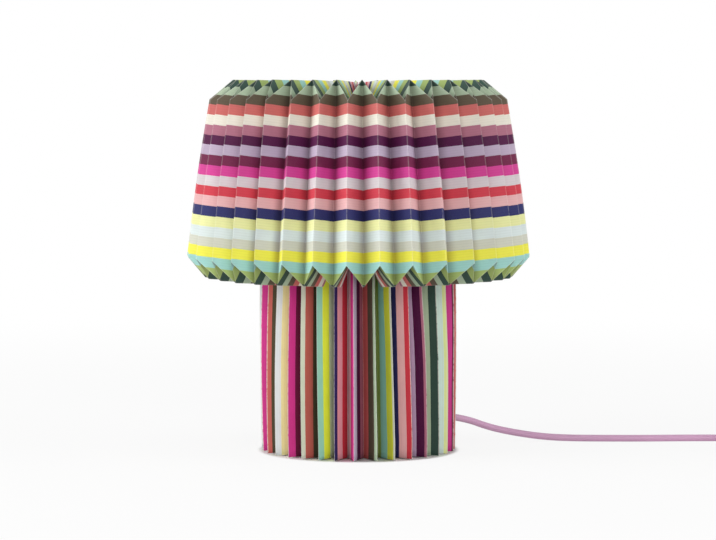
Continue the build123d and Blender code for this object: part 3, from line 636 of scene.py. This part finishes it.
def facet_normals(half):
    """Outward normal of a facet's three stretches, beside a ridge that points along +X."""
    ridge = np.array([(r, 0.0, z) for r, z in RIDGE_LINE])
    valley = np.array([(r * math.cos(half), r * math.sin(half), z) for r, z in VALLEY_LINE])
    normals = np.cross(valley[1:] - ridge[:-1], valley[:-1] - ridge[1:])
    return normals / np.linalg.norm(normals, axis=1, keepdims=True)


def marks_along(line, side_marks):
    """Each corner's place along the flat sheet."""
    top, _, lip = [math.dist(a, b) for a, b in pairwise(line)]
    return [side_marks[0] + top, *side_marks, side_marks[1] - lip]


def smooth_wander(rng, count, rows, waves=4):
    """For each of several lines, a slow random swing along its rows, about -1 to 1."""
    place = np.linspace(0.0, 1.0, rows)
    swing = np.zeros((count, rows))
    for wave in range(1, waves + 1):
        phase = rng.uniform(0, math.tau, (count, 1))
        swing += rng.normal(0, 1 / wave, (count, 1)) * np.sin(math.pi * wave * place + phase)
    return swing / 1.6


# Shares of a facet's width at which it is divided, close together beside its folds
ACROSS = np.array([0.0, 0.012, 0.05, 0.2, 0.4, 0.6, 0.8, 0.95, 0.988])


def folded_grid(lines, bends):
    """Columns of points over all facets, from the points of each fold's line."""
    here, there = lines[:-1], lines[1:]
    share = ACROSS[None, :, None, None]
    grid = here[:, None] * (1 - share) + there[:, None] * share + bends
    before = np.roll(grid[:, -1], 1, axis=0)
    grid[:, 0] = 0.5 * grid[:, 0] + 0.25 * (before + grid[:, 1])
    return grid.reshape(-1, *grid.shape[2:]).transpose(1, 0, 2)


def facet_bends(lines, swing):
    """How the paper between the folds bows out of its plane."""
    middle = (lines[:-1] + lines[1:]) / 2
    down = np.gradient(middle, axis=1)
    across = lines[1:] - lines[:-1]
    normal = np.cross(down, across)
    normal /= np.linalg.norm(normal, axis=2, keepdims=True)
    arch = np.sin(math.pi * ACROSS)[None, :, None, None]
    return arch * (swing[:, :, None] * normal)[:, None]


def by_columns(numbers):
    """Numbers at the folds as numbers at every column, with one more where the sheet closes."""
    here, there = numbers[:-1, None], numbers[1:, None]
    grid = here + (there - here) * ACROSS[None, :, None]
    return np.concatenate([grid.reshape(-1, numbers.shape[1]), numbers[-1:]]).T


def shade_rows():
    """How far each row of the shade is from the top hole, counted in stretches of the folded outline."""
    rows = []
    for stretch, count in enumerate(SHADE_ROWS):
        share = [*NEAR_CREASE, *np.linspace(0.04, 0.96, count), *(1 - w for w in reversed(NEAR_CREASE))]
        rows += [stretch + w for w in share[(1 if stretch else 0) :]]
    return np.array(rows)


def at_rows(rows, corners):
    """Numbers at the rows, from those at the corners of the outline."""
    return np.interp(rows, range(len(corners)), corners)


def crease_distances(places, marks):
    """Distance of the rows from the nearest crease, negative beyond it, at both kinds of fold."""
    top, low = marks[:, 1:2], marks[:, 2:3]
    top_fall = math.cos(math.atan2(top[1, 0] - top[0, 0], SHADE_FACET))
    low_fall = math.cos(math.atan2(low[0, 0] - low[1, 0], SHADE_FACET))
    return np.minimum((top - places) * top_fall, (places - low) * low_fall)


def folded_shade(shade):
    """Mesh of the whole shade."""
    rng = np.random.default_rng(SHADE_SEED)
    half = math.pi / shade.pleats
    normals = facet_normals(half)
    rows = shade_rows()
    folds = 2 * shade.pleats
    kind = np.arange(folds + 1) % 2  # 0 for an inner fold, 1 for one that stands out
    turns = shade.first_valley + half * np.arange(folds + 1)
    height = np.clip(2 - rows, 0, 1)  # 1 above the side, and 0 from its foot
    stray = [np.pad(table, (0, folds - len(table))) for table in (TOP_STRAY, LOW_STRAY)]
    top, low = [np.roll(table, -(len(TOP_STRAY) // 2)) for table in stray]
    stray = np.radians(np.outer(top, height) + np.outer(low, 1 - height))
    way = turns[:, None] + np.concatenate([stray, stray[:1]])
    ahead = np.stack([np.sin(way), -np.cos(way), 0 * way], axis=2)
    belly = shade.belly * np.sin(math.pi * height)
    outward = belly + smooth_wander(rng, folds, len(rows)) * shade.wander
    upward = smooth_wander(rng, folds, len(rows)) * shade.wander / 2
    outward, upward = [np.concatenate([a, a[:1]]) for a in (outward, upward)]
    lip = np.sin(math.pi * (rows - 2) / 2)
    side = np.where(rows < 2, np.sin(math.pi * (rows - 1)), lip)
    held = np.where(rows < 1, np.cos(math.pi * rows / 2), side)
    swing = (0.5 + smooth_wander(rng, folds, len(rows), 3)) * shade.bow * held
    sides = []
    for behind in (False, True):
        profiles = []
        for line, angle in ((VALLEY_LINE, half), (RIDGE_LINE, 0.0)):
            corners = inner_line(line, normals, angle, shade.thickness) if behind else line
            profiles.append([at_rows(rows, numbers) for numbers in zip(*corners)])
        r, z = np.array(profiles)[kind].swapaxes(0, 1)
        lines = (r + outward)[:, :, None] * ahead
        lines[:, :, 2] += z + upward
        sides.append(folded_grid(lines, facet_bends(lines, swing)))
    marks = np.array([marks_along(VALLEY_LINE, VALLEY_MARKS), marks_along(RIDGE_LINE, RIDGE_MARKS)])
    places = np.array([at_rows(rows, corners) for corners in marks])
    drift = np.outer(np.sin(turns) ** 2, height * MARK_DRIFT[0] + (1 - height) * MARK_DRIFT[1])
    stripe = AQUA_YELLOW_EDGE + by_columns(places[kind] + drift) / shade.stripe
    crease = by_columns(crease_distances(places, marks)[kind])
    fold = by_columns(np.repeat(np.arange(folds + 1.0)[:, None], len(rows), axis=1))
    sheet = np.stack([stripe, fold * SHADE_FACET], axis=2)
    return round_sheet("pleated_shade", *sides, sheet, np.stack([fold, crease], axis=2))


def column_stripes(column, stripe):
    """Stripe numbers where each of the column's facets starts and ends, towards the right."""
    back = COLUMN_PLEATS - len(RIGHT_RIDGE_STRIPES) - len(LEFT_RIDGE_STRIPES)
    unseen = np.linspace(RIGHT_RIDGE_STRIPES[-1], LEFT_RIDGE_STRIPES[0], back + 2)[1:-1]
    ridges = [*RIGHT_RIDGE_STRIPES, *unseen, *LEFT_RIDGE_STRIPES]
    across = column.facet / stripe
    facets = []
    for k, (number, after) in enumerate(pairwise(ridges)):
        if k < len(RIGHT_RIDGE_STRIPES):
            middle = after - across
        elif k >= COLUMN_PLEATS - len(LEFT_RIDGE_STRIPES):
            middle = number + across
        else:
            middle = (number + after) / 2
        facets += [(number, middle), (middle, after)]
    facets += SEAM_STRIPES
    return np.array(facets)


def column_folds(column, heights):
    """Direction at each height, and radius, of the column's folds: ridge and valley in turn."""
    step = (math.tau - (column.seam_right - column.seam_left)) / (COLUMN_PLEATS - 1)
    even = column.seam_right + step * np.arange(COLUMN_PLEATS)
    stray = np.zeros((COLUMN_PLEATS, len(STRAY_HEIGHTS)))
    stray[: len(RIGHT_STRAY)] = RIGHT_STRAY
    stray[-len(LEFT_STRAY) :] = LEFT_STRAY[::-1]
    ridges = even[:, None] + np.radians([np.interp(heights, STRAY_HEIGHTS, row) for row in stray])
    even = np.append(even, even[0] + math.tau)
    turns, radii = [], []
    for k in range(COLUMN_PLEATS):
        after = ridges[k + 1] if k + 1 < COLUMN_PLEATS else ridges[0] + math.tau
        half = (even[k + 1] - even[k]) / 2
        depth = math.sqrt(column.facet**2 - (column.ridge * math.sin(half)) ** 2)
        turns += [ridges[k], (ridges[k] + after) / 2]
        radii += [column.ridge, column.ridge * math.cos(half) - depth]
    return np.array(turns), np.array(radii)


def behind_zigzag(points, thickness):
    """A closed zigzag moved one thickness towards its inside, with its corners kept sharp."""
    before, after = np.roll(points, 1, axis=0), np.roll(points, -1, axis=0)
    first = (points - before) / np.linalg.norm(points - before, axis=1, keepdims=True)
    second = (after - points) / np.linalg.norm(after - points, axis=1, keepdims=True)
    n0 = np.stack([-first[:, 1], first[:, 0]], axis=1)
    n1 = np.stack([-second[:, 1], second[:, 0]], axis=1)
    return points + (n0 + n1) * (thickness / (1 + (n0 * n1).sum(axis=1)))[:, None]


def pleated_column(column, thickness, stripe):
    """Mesh of the column's sleeve."""
    rng = np.random.default_rng(COLUMN_SEED)
    heights = np.linspace(COLUMN_TOP, COLUMN_BOTTOM, COLUMN_ROWS)
    turns, radii = column_folds(column, heights)
    count, rows = turns.shape
    ahead = np.stack([np.sin(turns), -np.cos(turns)], axis=2)
    share = (heights - COLUMN_BOTTOM) / (COLUMN_TOP - COLUMN_BOTTOM)
    swell = column.belly * np.sin(math.pi * share) * (1 - 0.35 * ahead[:, :, 0])
    swell = swell + smooth_wander(rng, count, rows) * column.bow * 0.6
    outline = (radii[:, None] + swell)[:, :, None] * ahead
    behind = np.stack([behind_zigzag(outline[:, row], thickness) for row in range(rows)], axis=1)
    swing = (smooth_wander(rng, count, rows, 3) - 0.3) * column.bow
    sides = []
    for flat in (outline, behind):
        lines = np.concatenate([flat, np.broadcast_to(heights[None, :, None], (count, rows, 1))], axis=2)
        lines = np.concatenate([lines, lines[:1]])
        sides.append(folded_grid(lines, facet_bends(lines, swing)))
    starts, ends = column_stripes(column, stripe).T
    numbers = starts[:, None] + (ends - starts)[:, None] * ACROSS
    number = np.repeat(np.append(numbers.ravel(), ends[-1])[None, :], rows, axis=0)
    fold = by_columns(np.repeat(np.arange(1.0, count + 2)[:, None], rows, axis=1))
    tall = np.broadcast_to(heights[:, None], number.shape)
    sheet = np.stack([number, tall], axis=2)
    return round_sheet("column_sleeve", *sides, sheet, np.stack([fold, np.ones_like(fold)], axis=2))


def cut_round_hole(piece, start, end, radius):
    """Cuts a round way through a piece, between two points."""
    way = end - start
    bore = bpy.data.meshes.new("bore")
    made = bmesh.new()
    bmesh.ops.create_cone(made, cap_ends=True, segments=48, radius1=radius, radius2=radius, depth=way.length)
    made.transform(way.to_track_quat("Z", "Y").to_matrix().to_4x4())
    bmesh.ops.translate(made, verts=made.verts, vec=(start + end) / 2)
    made.to_mesh(bore)
    made.free()
    cutter = bpy.data.objects.new("bore", bore)
    bpy.context.scene.collection.objects.link(cutter)
    cut = piece.modifiers.new("bore", "BOOLEAN")
    cut.operation = "DIFFERENCE"
    cut.object = cutter
    cut.solver = "EXACT"
    bpy.context.view_layer.update()
    worked = piece.evaluated_get(bpy.context.evaluated_depsgraph_get())
    mesh = bpy.data.meshes.new_from_object(worked)
    piece.modifiers.clear()
    before = piece.data
    mesh.name = before.name
    piece.data = mesh
    bpy.data.meshes.remove(before)
    bpy.data.objects.remove(cutter)


def coil_points():
    """Control points of the coil: half turns inwards, one climbing half turn, half turns outwards."""
    part = math.pi / COIL_STEPS
    wider = 1 / (0.75 + 0.25 * math.cos(part))  # the line runs inside its control points
    inward = [COIL_OUTER_R - k * COIL_PITCH / 2 for k in range(COIL_HALF_TURNS)]
    climb = COIL_OUTER_R - COIL_HALF_TURNS * COIL_PITCH / 2
    x, y = COIL_START
    points = []
    z, side = COIL_LOW_Z, 1
    for radius in [*inward, climb, *reversed(inward)]:
        rise = COIL_PITCH if radius == climb else 0.0
        centre = x + side * radius
        reach = side * radius * wider
        for k in range(COIL_STEPS):
            turn = (k + 0.5) * part
            step = (centre - reach * math.cos(turn), y - reach * math.sin(turn), z + rise * turn / math.pi)
            points.append(step)
        x, z, side = centre + side * radius, z + rise, -side
    return points, (x, y, z)


def cord_route():
    """All control points of the cord, from the gland to the plug."""
    first = tuple(a + b * FIRST_RUN for a, b in zip(GLAND_TIP, GLAND_AHEAD))
    turns, (x, y, z) = coil_points()
    tail = [(x, y + ahead, z + rise) for ahead, rise in TAIL_STEPS]
    return [GLAND_TIP, first, *LEAD_POINTS, *LINK_POINTS, *turns, *tail]


# ---------------- operators


def painted(material, *names):
    """Gives CAD nodes a finish."""
    for name in names:
        data = NODES[name].data
        data.materials.clear()
        data.materials.append(material)
        data.polygons.foreach_set("material_index", [0] * len(data.polygons))


class LAMP_OT_fold_shade(bpy.types.Operator):
    """Folds the striped sheet into the shade, and finishes its gather ring"""

    bl_idname = "lamp.fold_shade"
    bl_label = "Fold the shade"

    def execute(self, context):
        shade = context.scene.lamp_shade
        mesh = folded_shade(shade)
        mesh.materials.append(striped_paper("shade_paper", SHADE_FACET, shade, **LAMPSHADE_WEAR_AND_PAINTED_LIGHT))
        mesh.materials.append(paper_back())
        piece = new_piece("pleated_shade", mesh, "shade")
        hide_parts(*SHADE_PANELS)
        grey = ((0.62, 0.61, 0.60), (0.44, 0.43, 0.42))
        painted(metal("ring_wire", *grey, 0.24, (900.0, 900.0, 90.0)), "gather_ring")
        return {"FINISHED"}


class LAMP_OT_pleat_column(bpy.types.Operator):
    """Pleats the column's sleeve and cuts it away round the cord's gland"""

    bl_idname = "lamp.pleat_column"
    bl_label = "Pleat the column"

    def execute(self, context):
        shade, column = context.scene.lamp_shade, context.scene.lamp_column
        mesh = pleated_column(column, shade.thickness, shade.stripe)
        mesh.materials.append(striped_paper("column_paper", column.facet, column, **COLUMN_WEAR_AND_PAINTED_LIGHT))
        mesh.materials.append(bpy.data.materials["paper_back"])
        sleeve = new_piece("column_sleeve", mesh, "lamp_base")
        tip, ahead = Vector(GLAND_TIP), Vector(GLAND_AHEAD)
        cut_round_hole(sleeve, tip - ahead * GLAND_REACH, tip + ahead * GLAND_CLEAR, GLAND_CUT_R)
        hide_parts("pleated_column")
        return {"FINISHED"}


class LAMP_OT_finish_base(bpy.types.Operator):
    """Finishes the core tube, the boards, the weight and the felt"""

    bl_idname = "lamp.finish_base"
    bl_label = "Finish the base"

    def execute(self, context):
        painted(wound_board(), "core_tube")
        painted(pressed_board(), "base_disc", "top_disc")
        painted(wool_felt(), "felt_pad")
        zinc = metal("zinc_plate", (0.58, 0.59, 0.60), (0.36, 0.37, 0.38), 0.34, (700.0, 700.0, 120.0))
        painted(zinc, "ballast_plate", "ballast_screws", "threaded_tube", "tube_washers", "tube_nuts")
        painted(zinc, "rocker_pin", "switch_screws")
        return {"FINISHED"}


class LAMP_OT_finish_holder(bpy.types.Operator):
    """Finishes the lampholder, its clamp rings and the wire carrier"""

    bl_idname = "lamp.finish_holder"
    bl_label = "Finish the lampholder"

    def execute(self, context):
        white = moulded("holder_plastic", (0.78, 0.78, 0.75), 0.38)
        painted(white, "holder_cap", "holder_skirt", "lower_clamp_ring", "upper_clamp_ring")
        painted(glazed_ceramic(), "holder_insulator")
        brass = metal("contact_brass", (0.72, 0.52, 0.22), (0.50, 0.34, 0.12), 0.26, (500.0, 500.0, 160.0))
        painted(brass, "holder_shell", "centre_contact", "switch_terminals", "bulb_contact")
        painted(enamelled_wire(), "carrier_plate", "carrier_arms", "carrier_hoop")
        return {"FINISHED"}


class LAMP_OT_finish_bulb(bpy.types.Operator):
    """Finishes the bulb"""

    bl_idname = "lamp.finish_bulb"
    bl_label = "Finish the bulb"

    def execute(self, context):
        cap = metal("bulb_metal", (0.70, 0.69, 0.67), (0.48, 0.47, 0.46), 0.30, (300.0, 300.0, 900.0))
        painted(cap, "bulb_cap")
        painted(moulded("bulb_black", (0.012, 0.012, 0.013), 0.18), "bulb_insulator")
        painted(moulded("bulb_white", (0.80, 0.80, 0.78), 0.36), "bulb_collar")
        painted(opal_glass(), "bulb_globe")
        return {"FINISHED"}


class LAMP_OT_lay_cord(bpy.types.Operator):
    """Lays the cord from the gland over the floor to its switch, coil and plug"""

    bl_idname = "lamp.lay_cord"
    bl_label = "Lay the cord"

    def execute(self, context):
        settings = context.scene.lamp_cord
        curve = bpy.data.curves.new("mains_cord", "CURVE")
        curve.dimensions = "3D"
        curve.bevel_depth = settings.diameter / 2
        curve.bevel_resolution = 8
        curve.resolution_u = 10
        curve.use_fill_caps = True
        spline = curve.splines.new("NURBS")
        route = cord_route()
        spline.points.add(len(route) - 1)
        for point, place in zip(spline.points, route):
            point.co = (*place, 1.0)
        spline.order_u = 3
        spline.use_endpoint_u = True
        spline.use_smooth = True
        colour = tuple(settings.colour)
        curve.materials.append(cord_sheath(colour))
        cord = new_piece("mains_cord", curve, "lamp_base")
        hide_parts("cord_lead", "cord_link", "cord_coil", "cord_tail")
        on_cord = ["switch_shell_lower", "switch_shell_upper", "switch_rocker", "rocker_pin", "switch_screws"]
        on_cord += ["switch_terminals", "cord_tie", "plug_boot", "plug_body", "plug_pins", "pin_sleeves"]
        painted(curve.materials[0], "inner_lead")
        fitting = moulded("lilac_fitting", toned(colour, 0.94), 0.46, 1900.0)
        painted(fitting, "cord_gland", "plug_boot")
        painted(moulded("gland_plastic", (0.02, 0.02, 0.022), 0.4), "gland_nut")
        painted(moulded("tie_plastic", (0.74, 0.74, 0.71), 0.5), "cord_tie")
        return {"FINISHED"}


class LAMP_OT_finish_fittings(bpy.types.Operator):
    """Finishes the inline switch and the plug"""

    bl_idname = "lamp.finish_fittings"
    bl_label = "Finish the switch and the plug"

    def execute(self, context):
        white = moulded("switch_plastic", (0.78, 0.77, 0.73), 0.40)
        painted(white, "switch_shell_lower", "switch_shell_upper", "plug_body")
        painted(moulded("rocker_plastic", (0.80, 0.79, 0.76), 0.24, 900.0, 0.00001), "switch_rocker")
        pins = metal("pin_metal", (0.66, 0.64, 0.58), (0.50, 0.48, 0.42), 0.18, (200.0, 900.0, 200.0), 0.2)
        painted(pins, "plug_pins")
        painted(moulded("sleeve_plastic", (0.015, 0.015, 0.016), 0.36), "pin_sleeves")
        return {"FINISHED"}


def soft_lamp(name, place, size, power):
    """A large square lamp that faces the middle of the studio."""
    data = bpy.data.lights.new(name, "AREA")
    data.size = size
    data.energy = power
    lamp = bpy.data.objects.new(name, data)
    lamp.location = place
    lamp.rotation_euler = (Vector(STUDIO_AIM) - Vector(place)).to_track_quat("-Z", "Y").to_euler()
    bpy.context.scene.collection.objects.link(lamp)


def seen(finish):
    """1 where a surface is seen, straight or in something shiny or clear, and 0 for its light."""
    rays = finish.node("LightPath").outputs
    straight_or_shiny = finish.math("MAXIMUM", rays["Is Camera Ray"], rays["Is Glossy Ray"])
    return finish.math("MAXIMUM", straight_or_shiny, rays["Is Transmission Ray"])


def pale_floor(stage):
    """Floor that shows nearly white but keeps the lamp's shadow."""
    finish = Finish("pale_floor")
    colour = tuple(stage.floor)
    base = finish.mix(colour, toned(colour, 0.98), finish.noise(3.0, 3.0))
    matt = finish.node("BsdfDiffuse", {}, {"Color": base})
    glow = finish.node("Emission", {}, {"Color": WHITE, "Strength": 1.0})
    x, y, _ = finish.split(finish.place)
    away = (x * x + y * y) ** 0.5
    white = stage.white + away.from_to(*FLOOR_FADE) * (1 - stage.white)
    share = seen(finish) * away.from_to(*FOOTPRINT) * white
    both = finish.node("MixShader", {}, {0: share, 1: matt.outputs[0], 2: glow.outputs[0]})
    finish.node("OutputMaterial", {}, {"Surface": both.outputs[0]})
    return finish.owner


class LAMP_OT_set_stage(bpy.types.Operator):
    """Sets the floor, the lamps, the white surround and the camera"""

    bl_idname = "lamp.set_stage"
    bl_label = "Set the stage"

    def execute(self, context):
        scene = context.scene
        stage = scene.lamp_stage
        made = bmesh.new()
        bmesh.ops.create_grid(made, x_segments=1, y_segments=1, size=FLOOR_REACH)
        mesh = bpy.data.meshes.new("floor")
        made.to_mesh(mesh)
        made.free()
        mesh.materials.append(pale_floor(stage))
        floor = bpy.data.objects.new("floor", mesh)
        scene.collection.objects.link(floor)
        for name, (place, size) in STUDIO_LAMPS.items():
            soft_lamp(f"{name}_lamp", place, size, getattr(stage, name))
        self.light_surround(scene, stage)
        self.aim_camera(scene)
        scene.view_settings.view_transform = "Standard"
        return {"FINISHED"}

    def light_surround(self, scene, stage):
        """White where it is seen, even and weaker as light."""
        finish = Finish("surround", "worlds")
        strength = stage.surround + seen(finish) * (1 - stage.surround)
        glow = finish.node("Background", {}, {"Color": WHITE, "Strength": strength})
        finish.node("OutputWorld", {}, {"Surface": glow.outputs[0]})
        scene.world = finish.owner

    def aim_camera(self, scene):
        """The photograph's level view from the front."""
        data = bpy.data.cameras.new("camera")
        data.sensor_width = SENSOR
        data.lens = FOCAL_PIXELS / PHOTO_WIDTH * SENSOR
        data.shift_x = (PHOTO_WIDTH / 2 - AXIS_PIXEL) / PHOTO_WIDTH
        data.shift_y = (HORIZON_PIXEL - PHOTO_HEIGHT / 2) / PHOTO_WIDTH
        data.clip_end = 200.0
        camera = bpy.data.objects.new("camera", data)
        camera.location = (0.0, -EYE_DISTANCE, EYE_HEIGHT)
        camera.rotation_euler = (math.pi / 2, 0.0, 0.0)
        scene.collection.objects.link(camera)
        scene.camera = camera


STEPS = (
    LAMP_OT_fold_shade,
    LAMP_OT_pleat_column,
    LAMP_OT_finish_base,
    LAMP_OT_finish_holder,
    LAMP_OT_finish_bulb,
    LAMP_OT_lay_cord,
    LAMP_OT_finish_fittings,
    LAMP_OT_set_stage,
)


class LAMP_PT_pieces(bpy.types.Panel):
    """Sizes, colours and building steps of the lamp"""

    bl_label = "Pleated lamp"
    bl_idname = "LAMP_PT_pieces"
    bl_space_type = "VIEW_3D"
    bl_region_type = "UI"
    bl_category = "Lamp"

    def draw(self, context):
        for name, group in SETTINGS.items():
            box = self.layout.box()
            box.label(text=group.__doc__)
            for prop in group.__annotations__:
                box.prop(getattr(context.scene, name), prop)
        for step in STEPS:
            self.layout.operator(step.bl_idname)


CLASSES = (*SETTINGS.values(), *STEPS, LAMP_PT_pieces)


def register():
    for cls in CLASSES:
        bpy.utils.register_class(cls)
    for name, group in SETTINGS.items():
        setattr(bpy.types.Scene, name, PointerProperty(type=group))


def unregister():
    for name in SETTINGS:
        delattr(bpy.types.Scene, name)
    for cls in reversed(CLASSES):
        bpy.utils.unregister_class(cls)


def main():
    register()
    for step in STEPS:
        group, action = step.bl_idname.split(".")
        getattr(getattr(bpy.ops, group), action)()


if __name__ == "__main__":
    main()
